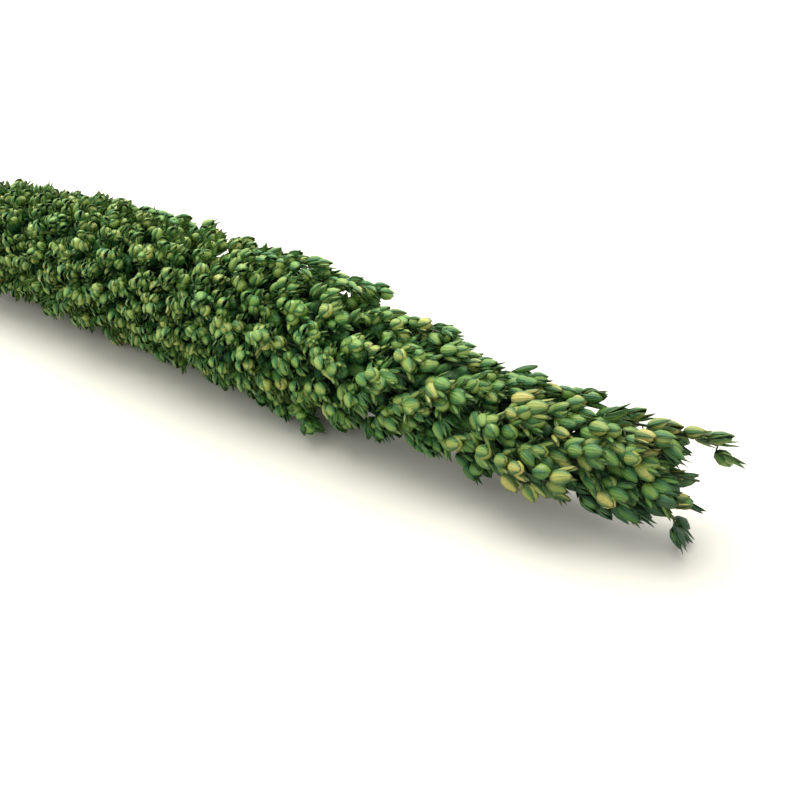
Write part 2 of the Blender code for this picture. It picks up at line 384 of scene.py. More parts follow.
# The primary branches: thin green stems that rise from the main axis in tiers, each tier turned
# half a step from the one below. Each carries one spray of side stems and spikelets, and its heel
# runs back into the axis that it grows from. They have the places and order of the frame's own.
BRANCH_SEED = 7
GAP = 0.0003
TIERS = 8
BRANCHES_PER_TIER = 7
FIRST_TIER = 0.0160
TIER_PITCH = 0.0325
LAST_TIER = 0.2590
LAST_PITCH = 0.0560
TIER_JITTER = 0.0015
TURN_JITTER = 0.04
STEM_RUN = 0.018
STEM_CURVE = 1.2
LOWEST_STEM = -0.006
LOWEST_CORE = 0.006
CORE_BACK = 0.54
CORE_AHEAD = 0.50
LAST_AHEAD = 0.66
END_JITTER = 0.002
TAIL_CUT = 0.014
BRANCH_RADIUS = 0.0009
BRANCH_END_RADIUS = 0.0004
BRANCH_DEPTH = 0.0105
BRANCH_SHARE = 0.34
BRANCH_SIDES = 7
BRANCH_STEPS = 12
BRANCH_HEEL = 0.007
# Distance from the head's foot, and the radius that the spikelets' tips reach there.
HEAD_PROFILE = (
    (0.000, 0.0130),
    (0.020, 0.0185),
    (0.050, 0.0228),
    (0.100, 0.0240),
    (0.150, 0.0232),
    (0.180, 0.0216),
    (0.215, 0.0180),
    (0.245, 0.0152),
    (0.272, 0.0128),
    (0.290, 0.0106),
    (0.300, 0.0085),
)
# Distance from the head's foot, and the angle in degrees between a spikelet and the main axis.
LEAN = ((0.00, 78), (0.04, 60), (0.12, 50), (0.18, 42), (0.23, 31), (0.27, 25), (0.30, 20))
ROUNDING = 0.005
# A direction that falls by more than this is held back by the floor.
FLOORWARDS = 0.1


def along(table, s):
    """A value read from a table of distances and values, with its corners rounded off."""
    places, values = zip(*table)
    window = np.linspace(-ROUNDING, ROUNDING, 5)
    return float(np.mean(np.interp(s + window, places, values)))


def outward(s, angle):
    """The direction straight out of the main axis at an angle round it."""
    side, up = axis_frame(s)[1:]
    return side * math.cos(angle) + up * math.sin(angle)


def reach(s, angle):
    """How far out the spikelets reach: the head's radius, or less where the floor is."""
    radius = along(HEAD_PROFILE, s)
    fall = -outward(s, angle).z
    if fall > FLOORWARDS:
        radius = min(radius, axis_point(s).z / fall)
    return radius


class Branch:
    """One primary branch, with the spray that grows on it."""

    def __init__(self, tier, place, rng):
        last = tier == TIERS - 1
        self.name = f"branch_{tier * BRANCHES_PER_TIER + place + 1:02d}"
        self.pitch = LAST_PITCH if last else TIER_PITCH
        self.turn = 2 * math.pi / BRANCHES_PER_TIER
        middle = LAST_TIER if last else FIRST_TIER + tier * TIER_PITCH
        self.middle = middle + rng.uniform(-TIER_JITTER, TIER_JITTER)
        half_step = 0.5 * (tier % 2)
        self.angle = (place + half_step) * self.turn + rng.uniform(-TURN_JITTER, TURN_JITTER)
        self.start = max(self.middle - CORE_BACK * self.pitch, LOWEST_CORE)
        self.root = max(self.start - STEM_RUN, LOWEST_STEM)
        self.end = self.middle + CORE_AHEAD * self.pitch - rng.uniform(0, END_JITTER)
        if last:
            self.end = self.middle + LAST_AHEAD * self.pitch - rng.uniform(0, TAIL_CUT)

    def distance(self, s, angle):
        """How far a place is from the branch, counted in the pitch of the tiers and branches."""
        turn = (angle - self.angle + math.pi) % (2 * math.pi) - math.pi
        return abs(s - self.middle) / self.pitch + abs(turn) / self.turn

    def centre(self, s):
        """A point of the branch at a distance s from the head's foot."""
        inside = axis_radius(min(s, AXIS_END)) + GAP + 2 * BRANCH_RADIUS
        full = reach(max(s, self.start), self.angle)
        radius = max(min(full - BRANCH_DEPTH, BRANCH_SHARE * full), inside)
        if s < self.start:
            close = axis_radius(self.root)
            share = (s - self.root) / (self.start - self.root)
            radius = close + (radius - close) * share**STEM_CURVE
        return axis_point(s) + outward(s, self.angle) * radius

    def hold(self, s):
        """The point that a stem grows from: the nearest to a distance along the head."""
        return self.centre(min(max(s, self.start), self.end))


branch_draws = random.Random(BRANCH_SEED)
branches = [
    Branch(tier, place, branch_draws) for tier in range(TIERS) for place in range(BRANCHES_PER_TIER)
]
stem_skin = stem_finish("side_stem", 0.15, 0.45)

# The side stems: short racemes that leave a branch and spread under the head's surface, each
# with a knot of spikelets round its end. Dark gaps show between the knots.
SIDE_STEMS = 300
SIDE_STEM_SPACING = 0.0098
SIDE_STEM_JITTER = 0.0020
SIDE_STEM_DEPTH = 0.0042
SIDE_STEM_BACK = 0.009
SIDE_STEM_HOLD = 0.003
SIDE_STEM_SHORT = 0.002
SIDE_STEM_BEND = 0.0015
SIDE_STEM_POINTS = (0.0, 0.33, 0.66, 1.0)
SIDE_STEM_RADIUS = 0.00042
SIDE_STEM_END_RADIUS = 0.00026
SIDE_STEM_SIDES = 5
KNOT_LIFT = (-0.0012, 0.0008)
VALLEY_START = 0.62
VALLEY_DEPTH = 0.0026
VALLEY_DRAW = (0.1, 1.0)
FIRST_SPIKELET = 0.004
TAIL_COVER = 0.012
GOLDEN_ANGLE = math.pi * (3 - math.sqrt(5))
SPREADING_ROUNDS = 12
SPREADING_PUSH = 0.25
PROFILE_STEPS = 601
# The share of its room that a spikelet takes lying along the head, and what standing up adds.
LEANING_ROOM = 0.55
UPRIGHT_ROOM = 0.45
GROWTH_SEED = 21


def even_places(count, spacing, jitter, rng):
    """Places spread evenly over the head's surface, as distances and angles.

    Each is a golden angle from the last. Then each is moved at random, and those that are
    nearer than the spacing push each other apart.
    """
    steps = np.linspace(FIRST_SPIKELET, HEAD_LENGTH, PROFILE_STEPS)
    radii = np.array([along(HEAD_PROFILE, s) for s in steps])
    slope = np.gradient(radii, steps)
    upright = np.array([math.sin(math.radians(along(LEAN, s))) for s in steps])
    room = LEANING_ROOM + UPRIGHT_ROOM * upright
    area = np.cumsum(radii * np.sqrt(1 + slope**2) * room)
    wanted = (np.arange(count) + 0.5) / count * area[-1]
    s = np.interp(wanted, area, steps) + rng.uniform(-jitter, jitter, count)
    radius = np.interp(s, steps, radii)
    angle = np.arange(count) * GOLDEN_ANGLE + rng.uniform(-jitter, jitter, count) / radius
    for _ in range(SPREADING_ROUNDS):
        apart = s[:, None] - s[None]
        turn = (angle[:, None] - angle[None] + math.pi) % (2 * math.pi) - math.pi
        around = turn * (radius[:, None] + radius[None]) / 2
        gap = np.hypot(apart, around) + np.eye(count)
        push = np.clip(spacing - gap, 0, None) * SPREADING_PUSH / gap
        s = np.clip(s + (apart * push).sum(axis=1), FIRST_SPIKELET, HEAD_LENGTH)
        angle = angle + (around * push).sum(axis=1) / radius
        radius = np.interp(s, steps, radii)
    return [(float(distance), float(turn)) for distance, turn in zip(s, angle)]


def surface_point(s, angle, depth=0.0):
    """A point of the head's surface, or at a depth under it."""
    return axis_point(s) + outward(s, angle) * (reach(s, angle) - depth)


class SideStem:
    """One side stem, from its branch to just under the head's surface."""

    def __init__(self, s, angle, rng):
        self.s = s
        self.branch = min(branches, key=lambda branch: branch.distance(s, angle))
        beyond = max(0.0, self.branch.distance(s, angle) - VALLEY_START) / (1 - VALLEY_START)
        self.lift = rng.uniform(*KNOT_LIFT)
        self.lift -= VALLEY_DEPTH * min(beyond, 1.0) * rng.uniform(*VALLEY_DRAW)
        self.top = surface_point(s, angle)
        self.tone = rng.uniform(-1, 1)
        lean = math.radians(along(LEAN, s))
        self.foot = self.branch.hold(s - SIDE_STEM_BACK * math.cos(lean) - SIDE_STEM_HOLD)
        end = s - SIDE_STEM_SHORT * math.cos(lean)
        self.end = surface_point(end, angle, SIDE_STEM_DEPTH - self.lift)

    def point(self, share):
        """A point of the stem, which leaves the branch along it and then bends outwards."""
        bend = self.foot + (self.end - self.foot) * 0.5 + axis_frame(self.s)[0] * SIDE_STEM_BEND
        first = self.foot.lerp(bend, share)
        return first.lerp(bend.lerp(self.end, share), share)


growth_rng = np.random.default_rng(GROWTH_SEED)
side_stems = [
    SideStem(s, angle, growth_rng)
    for s, angle in even_places(SIDE_STEMS, SIDE_STEM_SPACING, SIDE_STEM_JITTER, growth_rng)
]

# The grain spikelets: each a plump grain held by two leathery husks. The outer husk wraps more
# than half of it, the inner one closes the other side, and in some the grain bulges out between
# them. They sit on short stalks round the side stems' ends, tips outwards.
SPIKELETS = 2350
SPIKELET_SPACING = 0.0036
SPIKELET_JITTER = 0.0014
SPIKELET_LENGTH = 0.0053
GRAIN_WIDTH = 0.0033
GRAIN_DEPTH = 0.0030
GRAIN_LENGTH = 0.0041
GRAIN_FOOT = 0.0003
GRAIN_SIDES = 8
GRAIN_RINGS = 3
HUSK_WIDTH = 0.0036
HUSK_DEPTH = 0.0033
HUSK_THICKNESS = 0.20
HUSK_NARROWING = 0.35
HUSK_TIP_IN = 0.25
HUSK_COLUMNS = 6
HUSK_ROWS = (0.09, 0.30, 0.56, 0.81)
INNER_HUSK_LENGTH = 0.93
INNER_HUSK_WIDTH = 0.95
INNER_HUSK_COLUMNS = 4
INNER_HUSK_ROWS = (0.12, 0.45, 0.80)
RIB_RISE = 0.045
# How a husk and a grain swell: below 1, the first puts the belly lower and the second fills it out.
HUSK_SWELL = (0.78, 0.66)
GRAIN_SWELL = (0.92, 0.75)
KNOT_SINK = 0.0026
KNOT_PULL = 0.14
KNOT_FAN = 0.36
KNOT_FAR = 1.2
LEAN_JITTER = 0.30
SIDE_JITTER = 0.35
SINK_JITTER = 0.0009
SPIN_JITTER = 0.75
SIZES = (0.86, 1.10)
STRETCH = 0.92
TIP_STRETCH = 0.26
STALKLET_RADIUS = 0.00020
STALKLET_FLARE = 1.5
STALKLET_SINK = 0.0004
STALKLET_START = 0.82
STALKLET_SIDES = 3


def swelling(share, swell):
    """How wide a husk or grain is at a share of its length, from 0 at its ends to 1."""
    belly, fullness = swell
    return math.sin(math.pi * share**belly) ** fullness


def husk_shape(length, width, depth, wrap, columns, flare, tip_in, rows):
    """A boat-shaped husk: an outer and an inner skin that meet at the rims, foot and tip.

    It opens towards -Y and points along +Z. The wrap is half the angle that it covers.
    """
    points, places = [], []
    for thickness in (0.0, HUSK_THICKNESS):
        for row in rows:
            swell = swelling(row, HUSK_SWELL)
            cover = wrap * (1 - HUSK_NARROWING * row**4)
            for column in range(columns + 1):
                share = column / columns
                turn = cover * (2 * share - 1)
                radius = 1 - thickness * (1 - (2 * share - 1) ** 2)
                radius *= swell * (1 + RIB_RISE * (column % 2))
                points.append((
                    width / 2 * radius * math.sin(turn),
                    depth / 2 * radius * math.cos(turn) + flare * row**2,
                    length * row,
                ))
                places.append((share, row, EVEN_TONE))
    points += [(0, 0, 0), (0, depth / 2 * tip_in + flare, length)]
    places += [(0.5, 0, EVEN_TONE), (0.5, 1, EVEN_TONE)]
    count = len(rows) * (columns + 1)
    foot, tip = 2 * count, 2 * count + 1
    outer = np.arange(count).reshape(len(rows), columns + 1)
    inner = outer + count
    inner[:, 0], inner[:, -1] = outer[:, 0], outer[:, -1]
    faces = []
    for column in range(columns):
        for row in range(len(rows) - 1):
            low, high = outer[row], outer[row + 1]
            faces.append((low[column + 1], low[column], high[column], high[column + 1]))
            low, high = inner[row], inner[row + 1]
            faces.append((low[column], low[column + 1], high[column + 1], high[column]))
        faces.append((outer[0][column], outer[0][column + 1], foot))
        faces.append((inner[0][column + 1], inner[0][column], foot))
        faces.append((outer[-1][column + 1], outer[-1][column], tip))
        faces.append((inner[-1][column], inner[-1][column + 1], tip))
    used = sorted({corner for face in faces for corner in face})
    number = {corner: place for place, corner in enumerate(used)}
    faces = [tuple(number[corner] for corner in face) for face in faces]
    return np.array(points)[used], faces, np.array(places)[used]


def turned_over(shape):
    """The same shape half a turn round its own length."""
    return shape[0] * np.array((-1, -1, 1)), shape[1], shape[2]


def grain_shape(width, depth):
    """A plump ovoid grain, fattest below its middle."""
    points, places = [], []
    for ring in range(1, GRAIN_RINGS + 1):
        share = ring / (GRAIN_RINGS + 1)
        swell = swelling(share, GRAIN_SWELL)
        for corner in range(GRAIN_SIDES):
            turn = 2 * math.pi * corner / GRAIN_SIDES
            points.append((
                width / 2 * swell * math.cos(turn),
                depth / 2 * swell * math.sin(turn),
                GRAIN_FOOT + GRAIN_LENGTH * share,
            ))
            places.append((corner / GRAIN_SIDES, share, EVEN_TONE))
    foot = len(points)
    points += [(0, 0, GRAIN_FOOT), (0, 0, GRAIN_FOOT + GRAIN_LENGTH)]
    places += [(0, 0, EVEN_TONE), (0, 1, EVEN_TONE)]
    faces = ring_faces(GRAIN_RINGS, GRAIN_SIDES)
    last = (GRAIN_RINGS - 1) * GRAIN_SIDES
    for corner in range(GRAIN_SIDES):
        after = (corner + 1) % GRAIN_SIDES
        faces.append((after, corner, foot))
        faces.append((last + corner, last + after, foot + 1))
    return np.array(points), faces, np.array(places)


def spikelet_shapes(outer_wrap, inner_wrap, cover, flare, bulge):
    """The shapes of one make of spikelet: outer husk, inner husk, and the grain if it shows."""
    length = SPIKELET_LENGTH * cover
    outer = husk_shape(
        length, HUSK_WIDTH, HUSK_DEPTH, outer_wrap, HUSK_COLUMNS, flare, HUSK_TIP_IN, HUSK_ROWS
    )
    inner = husk_shape(
        length * INNER_HUSK_LENGTH, HUSK_WIDTH * INNER_HUSK_WIDTH, HUSK_DEPTH, inner_wrap,
        INNER_HUSK_COLUMNS, flare, HUSK_TIP_IN, INNER_HUSK_ROWS,
    )
    grain = grain_shape(GRAIN_WIDTH * bulge, GRAIN_DEPTH * bulge) if bulge else None
    return outer, turned_over(inner), grain


# For each make: the wrap of the outer and the inner husk, how much of the length they cover,
# how far their tips flare, and how plump the grain is, or 0 where it is hidden.
SPIKELET_MAKES = (
    spikelet_shapes(1.75, 1.45, 1.00, 0.0000, 0),
    spikelet_shapes(1.55, 1.15, 1.02, 0.0003, 1.00),
    spikelet_shapes(1.35, 1.00, 0.84, 0.0004, 1.14),
)
MAKE_SHARES = (0.46, 0.32, 0.22)
HUSK_DEEP = (0.014, 0.058, 0.016)
HUSK_GREEN = (0.050, 0.176, 0.024)
HUSK_BRIGHT = (0.114, 0.250, 0.036)
HUSK_YELLOW = (0.212, 0.306, 0.058)
HUSK_CREAM = (0.380, 0.392, 0.092)
HUSK_BLUE = (0.012, 0.098, 0.026)
HUSK_MARGIN = (0.190, 0.340, 0.100)
HUSK_TIP = (0.018, 0.024, 0.010)
DYE_PATCHES = 420
DYE_SPECKS = 2400
VEIN_DEPTH = 0.00012
GRAIN_PATCHES = 500
GRAIN_SPECKS = 3000
GRAIN_RELIEF = 0.00008
TIP_TINT = (0.93, 0.80, 0.82)
TIP_TINT_START = 0.090
TIP_TINT_END = 0.165


def duller_towards_tip(finish, colour):
    """The colour as it is where the head ripened and dried first: duller and yellower."""
    inside = finish.node("ShaderNodeTexCoord", out="Object")
    along_head = finish.node("ShaderNodeSeparateXYZ", {}, {0: inside}, out="X")
    near = finish.span(along_head, TIP_TINT_START, TIP_TINT_END)
    return finish.blend(near, colour, TIP_TINT, "MULTIPLY")


def husk_finish(name, veins, rim_share, tip_start):
    """Dyed husk: bright veins, a paler middle partly painted highlight, blue-green rims partly
    painted shade, a dark dry tip and patchy dye.
    """
    finish = Finish(name, IOR=1.45)
    across, run, tone = finish.place("X"), finish.place("Y"), finish.place("Z")
    patches = finish.spots(DYE_PATCHES, 3.0)
    specks = finish.spots(DYE_SPECKS)
    phase = across * (2 * math.pi * veins) + 2.5 * patches
    vein = finish.span(finish.one_of("COSINE", phase), -0.3, 0.8)
    edge = finish.one_of("ABSOLUTE", across - 0.5)
    # The paler middle and darker rims are partly the husk's own colour and partly painted highlight
    # and painted shade.
    face = 1 - finish.span(edge, 0.07, 0.36)
    light = tone * 0.66 + 0.34 * patches + 0.27 * face - 0.25
    light = light + vein * (0.22 - 0.12 * face)
    stops = (
        (0.05, HUSK_DEEP),
        (0.28, HUSK_GREEN),
        (0.52, HUSK_BRIGHT),
        (0.76, HUSK_YELLOW),
        (0.98, HUSK_CREAM),
    )
    colour = finish.ramp(light, stops)
    colour = finish.blend((1 - face) * rim_share, colour, HUSK_BLUE)
    colour = finish.blend(finish.span(edge, 0.41, 0.48, 0.0, 0.75), colour, HUSK_MARGIN)
    colour = finish.blend(finish.span(specks, 0.58, 0.75, 0.0, 0.35), colour, HUSK_DEEP)
    colour = finish.blend(1 - finish.span(run, 0.0, 0.12), colour, HUSK_DEEP)
    colour = finish.blend(finish.span(run, tip_start, 1.0, 0.0, 0.85), colour, HUSK_TIP)
    finish.colour(duller_towards_tip(finish, colour))
    finish.roughness(0.40 + 0.22 * specks + 0.12 * vein)
    finish.relief(vein * 0.8 + specks * 0.3, VEIN_DEPTH)
    return finish


husk = husk_finish("husk", 7, 0.84, 0.86)

grain_skin = Finish("grain_skin", IOR=1.46)
grain_patches = grain_skin.spots(GRAIN_PATCHES, 3.0)
grain_specks = grain_skin.spots(GRAIN_SPECKS)
grain_light = grain_skin.place("Z") * 0.55 + 0.35 * grain_patches + 0.12
grain_stops = ((0.10, HUSK_GREEN), (0.42, HUSK_BRIGHT), (0.70, HUSK_YELLOW), (0.95, HUSK_CREAM))
grain_colour = grain_skin.ramp(grain_light, grain_stops)
grain_dark = grain_skin.span(grain_specks, 0.60, 0.74, 0.0, 0.45)
grain_colour = grain_skin.blend(grain_dark, grain_colour, HUSK_GREEN)
grain_skin.colour(duller_towards_tip(grain_skin, grain_colour))
grain_skin.roughness(0.30 + 0.25 * grain_patches)
grain_skin.relief(grain_patches + 0.4 * grain_specks, GRAIN_RELIEF)

# The sterile spikelets: slim empty pairs of husks on short stalks of their own beside each
# grain spikelet, forked at the tip. Their dark points make the fringe along the head's outline.
STERILE_SHARES = (0.85, 0.35)
STERILE_LENGTH = 0.0052
STERILE_WIDTH = 0.0016
STERILE_DEPTH = 0.0012
STERILE_WRAP = 1.35
STERILE_COLUMNS = 3
STERILE_FLARE = 0.0004
STERILE_TIP_IN = 0.4
STERILE_ROWS = (0.13, 0.46, 0.80)
STERILE_RISE = 0.0008
STERILE_ASIDE = 0.0012
STERILE_BEHIND = 0.0007
STERILE_TILT = (0.05, 0.40)
STERILE_SPIN = 0.6
STERILE_STALKLET = (0.00012, 0.00016)
STERILE_SINK = 0.0003
# A spikelet's tone is its lightness, from 0 for the darkest to 1 for the palest: its dye, and the
# painted shade and light set below.
SPIKELET_TONE = 0.73
KNOT_TONE = 0.09
TONE_JITTER = 0.18
INNER_HUSK_TONE = -0.05
GRAIN_TONE = 0.06
STERILE_TONES = (-0.10, 0.16)
STERILE_BACK_TONE = -0.08
# Towards the tip they are darkened with painted shade, most of all underneath, but the big ones
# there are riper.
TIP_PAINTED_SHADE = 0.52
UNDER_PAINTED_SHADE = 1.10
UNDER_START = 0.36
UNDER_CAP = 0.40
TIP_RIPENESS = 4.2
# A few are paler: how often, how many more at the tip, and by how much, and the painted light that
# makes those at the tip paler still on top.
PALE_CHANCE = 0.06
PALE_TIP_CHANCE = 0.20
PALE_TONES = (0.12, 0.28)
PALE_TOP_PAINTED_LIGHT = 0.52
# Some sprays near the tip took more of the dye than the rest, and some less.
SPRAY_TONES = {"branch_45": -0.06, "branch_46": 0.06, "branch_47": 0.12, "branch_53": 0.14}

sterile_husk = husk_finish("sterile_husk", 3, 0.80, 0.74)
sterile_front = husk_shape(
    STERILE_LENGTH, STERILE_WIDTH, STERILE_DEPTH, STERILE_WRAP, STERILE_COLUMNS, STERILE_FLARE,
    STERILE_TIP_IN, STERILE_ROWS,
)
sterile_back = turned_over(sterile_front)


class Spikelet:
    """One grain spikelet's place: its foot, its direction and the side that faces out."""

    def __init__(self, foot, forward, out, share, stem_end, tone, rng):
        self.foot = foot
        self.forward = forward.normalized()
        spin = rng.uniform(-SPIN_JITTER, SPIN_JITTER)
        out = (out - self.forward * out.dot(self.forward)).normalized()
        self.out = out * math.cos(spin) + self.forward.cross(out) * math.sin(spin)
        self.size = rng.uniform(*SIZES)
        self.stem_end = stem_end
        near_tip = share**3
        self.stretch = STRETCH + TIP_STRETCH * near_tip
        # Painted shade: darker towards the tip, and most of all on the underside there.
        under = UNDER_PAINTED_SHADE * share**6 * (UNDER_START - min(self.out.z, UNDER_CAP))
        ripe = TIP_RIPENESS * near_tip * max(self.size - 1, 0)
        self.tone = tone + TONE_JITTER * rng.uniform(-1, 1) - (TIP_PAINTED_SHADE * near_tip + under) + ripe
        if rng.uniform() < PALE_CHANCE + PALE_TIP_CHANCE * near_tip:
            # Painted light: at the tip, the pale ones are paler still on their upper side.
            on_top = max(self.out.z, 0.0)
            self.tone += rng.uniform(*PALE_TONES) + PALE_TOP_PAINTED_LIGHT * near_tip * on_top
        self.make = int(rng.choice(len(MAKE_SHARES), p=MAKE_SHARES))
        first = rng.choice((-1, 1))
        self.steriles = []
        for side, chance in zip((first, -first), STERILE_SHARES):
            if rng.uniform() < chance:
                sterile_tone = self.tone + rng.uniform(*STERILE_TONES)
                tilt = side * rng.uniform(*STERILE_TILT)
                turned = rng.uniform(-STERILE_SPIN, STERILE_SPIN)
                self.steriles.append((side, sterile_tone, tilt, turned))

    def turn(self, tilt=0.0, spin=0.0):
        """The spikelet's axes as a matrix: across, out and forward, tilted across and spun."""
        across = self.out.cross(self.forward)
        forward = self.forward * math.cos(tilt) + across * math.sin(tilt)
        out = (self.out * math.cos(spin) + across * math.sin(spin)).normalized()
        out = (out - forward * out.dot(forward)).normalized()
        return np.array((out.cross(forward), out, forward * self.stretch)).T * self.size

    def grow(self, growth):
        """Adds the spikelet, its stalklet and its steriles to the growth of its spray."""
        outer, inner, grain = SPIKELET_MAKES[self.make]
        turn = self.turn()
        growth.add(outer, husk, self.tone, turn, self.foot)
        growth.add(inner, husk, self.tone + INNER_HUSK_TONE, turn, self.foot)
        if grain:
            growth.add(grain, grain_skin, self.tone + GRAIN_TONE, turn, self.foot)
        middle = self.stem_end.lerp(self.foot, 0.5)
        radii = (STALKLET_RADIUS, STALKLET_RADIUS, STALKLET_RADIUS * STALKLET_FLARE)
        stalklet = (self.stem_end, middle, self.foot + self.forward * STALKLET_SINK)
        growth.add(tube(stalklet, radii, STALKLET_SIDES), stem_skin)
        across = self.out.cross(self.forward)
        for side, tone, tilt, spin in self.steriles:
            foot = self.foot + across * (side * STERILE_ASIDE) - self.out * STERILE_BEHIND
            foot += self.forward * STERILE_RISE
            turn = self.turn(tilt, spin)
            growth.add(sterile_front, sterile_husk, tone, turn, foot)
            growth.add(sterile_back, sterile_husk, tone + STERILE_BACK_TONE, turn, foot)
            stalklet = (self.foot, foot + self.forward * STERILE_SINK)
            growth.add(tube(stalklet, STERILE_STALKLET, STALKLET_SIDES), stem_skin)


def surface_spikelet(s, angle, rng):
    """A spikelet under a place on the head's surface, and the side stem that carries it."""
    surface = surface_point(s, angle)
    stem = min(side_stems, key=lambda stem: (stem.top - surface).length_squared)
    away = surface - stem.top
    far = min(away.length / SIDE_STEM_SPACING * 2, KNOT_FAR)
    lean = math.radians(along(LEAN, s)) + rng.uniform(-LEAN_JITTER, LEAN_JITTER)
    tangent = axis_frame(s)[0]
    radial = outward(s, angle)
    forward = tangent * math.cos(lean) + radial * math.sin(lean)
    forward += tangent.cross(radial) * rng.uniform(-SIDE_JITTER, SIDE_JITTER)
    forward = (forward + away.normalized() * KNOT_FAN * far).normalized()
    sink = KNOT_SINK * far**2 - stem.lift + rng.uniform(0, SINK_JITTER)
    tip = surface - away * KNOT_PULL - radial * sink
    foot = tip - forward * SPIKELET_LENGTH
    tone = SPIKELET_TONE + KNOT_TONE * stem.tone + SPRAY_TONES.get(stem.branch.name, 0)
    start = stem.point(STALKLET_START)
    return Spikelet(foot, forward, radial, s / HEAD_LENGTH, start, tone, rng), stem


# The loose ends: thin racemes that stand away from the rest, with a spikelet on either side in
# turn. Each grows out of the branch that is nearest to its foot. They leave the outline uneven, as
# on any dried head, most of all at the tip.
LOOSE_SPREAD = 0.50
LOOSE_SPREADS = (0.5, 1.2)
LOOSE_OUT = (-0.9, 1.1)
LOOSE_ASIDE = (0.0006, 0.0026)
LOOSE_TONES = (-0.12, 0.22)
LOOSE_FOOT_BACK = 0.006
LOOSE_STEM_PROBE = 0.05
LOOSE_STEM_STEPS = 9
LOOSE_STEM_RADIUS = 0.00045
LOOSE_STEM_END_RADIUS = 0.00025
# For each: its stem's points, as distances, angles in degrees and radii, then the share of the
# stem that the first spikelet sits at, how many it has, and their tone. The first runs out beside
# the tip, six lift off the upper side, two stand off the lower side, one hangs under the tip, and
# the last is a pale one that lies close to the rest.
LOOSE_ENDS = (
    (((0.262, 42, 0.0055), (0.277, 44, 0.0110), (0.288, 37, 0.0134), (0.298, 30, 0.0138)),
     0.25, 10, 0.90),
    (((0.234, 58, 0.0085), (0.247, 56, 0.0108), (0.259, 52, 0.0118), (0.268, 48, 0.0116)),
     0.15, 17, 0.68),
    (((0.262, 88, 0.0060), (0.273, 84, 0.0085), (0.282, 80, 0.0098), (0.289, 76, 0.0100)),
     0.15, 15, 0.72),
    (((0.152, 80, 0.0140), (0.164, 78, 0.0180), (0.176, 76, 0.0198), (0.186, 74, 0.0202)),
     0.10, 20, 0.60),
    (((0.170, 58, 0.0130), (0.184, 58, 0.0172), (0.196, 59, 0.0194), (0.206, 60, 0.0194)),
     0.10, 22, 0.56),
    (((0.198, 64, 0.0110), (0.210, 64, 0.0138), (0.222, 63, 0.0152), (0.231, 62, 0.0150)),
     0.10, 18, 0.66),
    (((0.092, 62, 0.0150), (0.104, 66, 0.0195), (0.118, 69, 0.0212), (0.130, 71, 0.0212)),
     0.10, 20, 0.52),
    (((0.166, -124, 0.0140), (0.178, -127, 0.0178), (0.190, -129, 0.0196), (0.200, -130, 0.0198)),
     0.10, 18, 0.56),
    (((0.256, -122, 0.0044), (0.266, -120, 0.0064), (0.275, -117, 0.0070), (0.281, -114, 0.0072)),
     0.25, 11, 0.50),
    (((0.282, -80, 0.0025), (0.289, -82, 0.0045), (0.294, -82, 0.0064), (0.2955, -81, 0.0080)),
     0.97, 2, 0.36),
    (((0.246, -168, 0.0095), (0.256, -172, 0.0122), (0.264, -175, 0.0128), (0.271, -178, 0.0124)),
     0.20, 10, 1.08),
)


class LooseEnd:
    """One loose raceme, with its stem and its own row of spikelets."""

    def __init__(self, points, first, count, tone):
        self.points = [
            axis_point(s) + outward(s, math.radians(angle)) * radius for s, angle, radius in points
        ]
        s, angle = points[0][0], math.radians(points[0][1])
        self.share = points[-1][0] / HEAD_LENGTH
        self.branch = min(branches, key=lambda branch: branch.distance(s, angle))
        self.first, self.count, self.tone = first, count, tone
        self.foot = self.branch.hold(s - LOOSE_FOOT_BACK)

    def point(self, share):
        """A point of the stem: a smooth curve on the four points."""
        rest = 1 - share
        weights = (rest**3, 3 * rest**2 * share, 3 * rest * share**2, share**3)
        return sum((point * weight for point, weight in zip(self.points, weights)), Vector())

    def grow(self, growth, rng):
        """Adds the stem and its spikelets to the growth of its spray."""
        steps = np.linspace(0, 1, LOOSE_STEM_STEPS)
        points = [self.foot] + [self.point(share) for share in steps]
        radii = np.linspace(LOOSE_STEM_RADIUS, LOOSE_STEM_END_RADIUS, len(points))
        growth.add(tube(points, radii, SIDE_STEM_SIDES), stem_skin)
        centre = axis_point(self.share * HEAD_LENGTH)
        for number, share in enumerate(np.linspace(self.first, 1.0, self.count)):
            place = self.point(share)
            ahead = self.point(share + LOOSE_STEM_PROBE) - self.point(share - LOOSE_STEM_PROBE)
            ahead.normalize()
            out = (place - centre).normalized()
            aside = ahead.cross(out).normalized() * (-1) ** number
            aside = (aside + out * rng.uniform(*LOOSE_OUT)).normalized()
            spread = LOOSE_SPREAD * rng.uniform(*LOOSE_SPREADS)
            forward = ahead * math.cos(spread) + aside * math.sin(spread)
            tone = self.tone + rng.uniform(*LOOSE_TONES)
            foot = place + aside * rng.uniform(*LOOSE_ASIDE)
            Spikelet(foot, forward, out, self.share, place, tone, rng).grow(growth)


# The inner spikelets: the same husks deeper in the head, darkened with painted shade, which close
# the gaps between the outer ones. They are plain, as only their outer husk shows.
INNER_PAINTED_SHADE = 0.58
INNER_WRAP = 2.9
# For each layer: how many, their spacing and jitter, how deep they sit, at most which share of
# the way to the axis, and their size.
INNER_LAYERS = (
    (1000, 0.0052, 0.0012, 0.0045, 0.40, 1.15),
    (620, 0.0066, 0.0015, 0.0085, 0.60, 1.25),
    (320, 0.0092, 0.0020, 0.0120, 0.78, 1.30),
)

inner_shape = husk_shape(
    SPIKELET_LENGTH, HUSK_WIDTH, HUSK_DEPTH, INNER_WRAP, HUSK_COLUMNS, 0.0, 0.0, INNER_HUSK_ROWS
)

# The sprays: a primary branch with the side stems, spikelets and loose ends that grow on it, each
# spray one piece. Those underneath carry the head, so their lowest tips are pressed to the floor.
FLOOR_GAP = 0.0002


